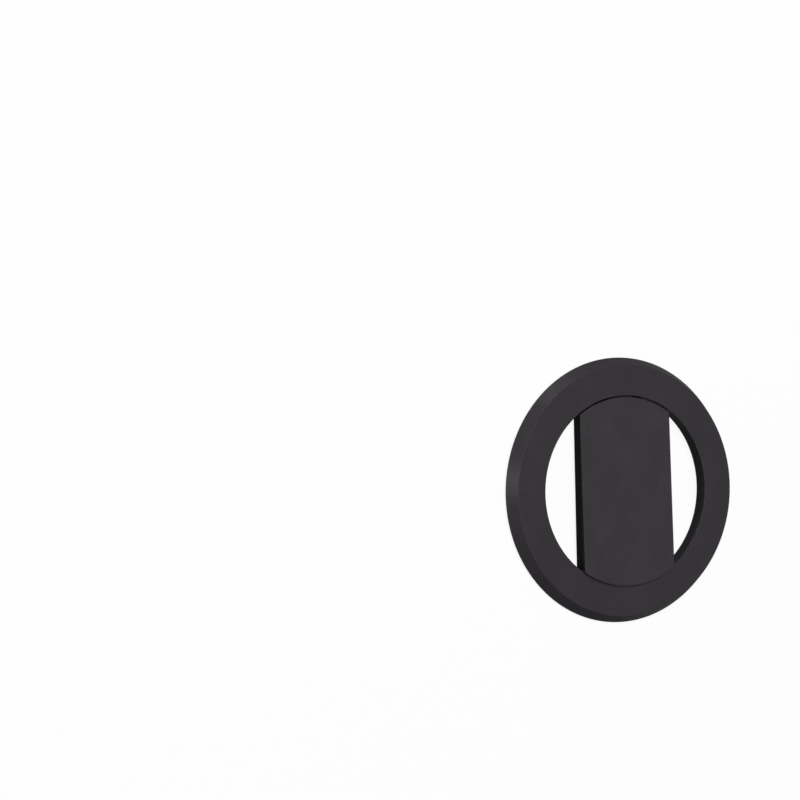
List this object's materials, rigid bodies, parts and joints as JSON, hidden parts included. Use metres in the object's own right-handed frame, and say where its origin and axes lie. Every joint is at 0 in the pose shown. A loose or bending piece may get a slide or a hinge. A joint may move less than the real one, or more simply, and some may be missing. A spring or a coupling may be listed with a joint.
{
  "type": "magnetic phone stand",
  "caption": "Flat magnetic ring that clings to a phone's back, with a fold-out leg across its hole, hinged inside the ring at one end and lifted by a proud lip at the other.",
  "frame": {"origin": "centre of the ring on the back of the grip pad, where the stand rests on the phone or the table", "axes": "+Z out of the front face, +Y towards the hinge end of the leg, +X to the right seen from the front"},
  "size_m": [0.06, 0.06, 0.0045],
  "materials": {
    "ring_shell": "satin black soft-touch coat",
    "leg_shell": "satin black soft-touch coat",
    "inner_plastic": "matte black",
    "film": "black adhesive film",
    "grip_rubber": "matte silicone",
    "foot_rubber": "matte silicone",
    "spring_steel": "stamped stainless steel",
    "screw_steel": "turned stainless steel",
    "magnet_plating": "nickel plated"
  },
  "bodies": {
    "ring": {"ring_cover": "ring_shell", "back_plate": "inner_plastic", "pad_film": "film", "grip_pad": "grip_rubber", "yoke": "spring_steel", "magnet_01": "magnet_plating", "magnet_02": "magnet_plating", "magnet_03": "magnet_plating", "magnet_04": "magnet_plating", "magnet_05": "magnet_plating", "magnet_06": "magnet_plating", "magnet_07": "magnet_plating", "magnet_08": "magnet_plating", "magnet_09": "magnet_plating", "magnet_10": "magnet_plating", "magnet_11": "magnet_plating", "magnet_12": "magnet_plating", "magnet_13": "magnet_plating", "magnet_14": "magnet_plating", "hinge_frame": "spring_steel", "frame_screws": "screw_steel", "hinge_pin": "screw_steel", "disc_spring_left": "screw_steel", "disc_spring_right": "screw_steel"},
    "leg": {"hinge_arm": "spring_steel", "leg_cover": "leg_shell", "leg_back": "inner_plastic", "leg_screws": "screw_steel", "latch_plate": "spring_steel", "leg_foot": "foot_rubber"}
  },
  "joints": [
    {"name": "leg_hinge", "type": "hinge", "parent": "ring", "child": "leg", "pos_m": [0, 0.02295, 0.00245], "axis": [-1, 0, 0], "range_deg": [0, 60]}
  ]
}
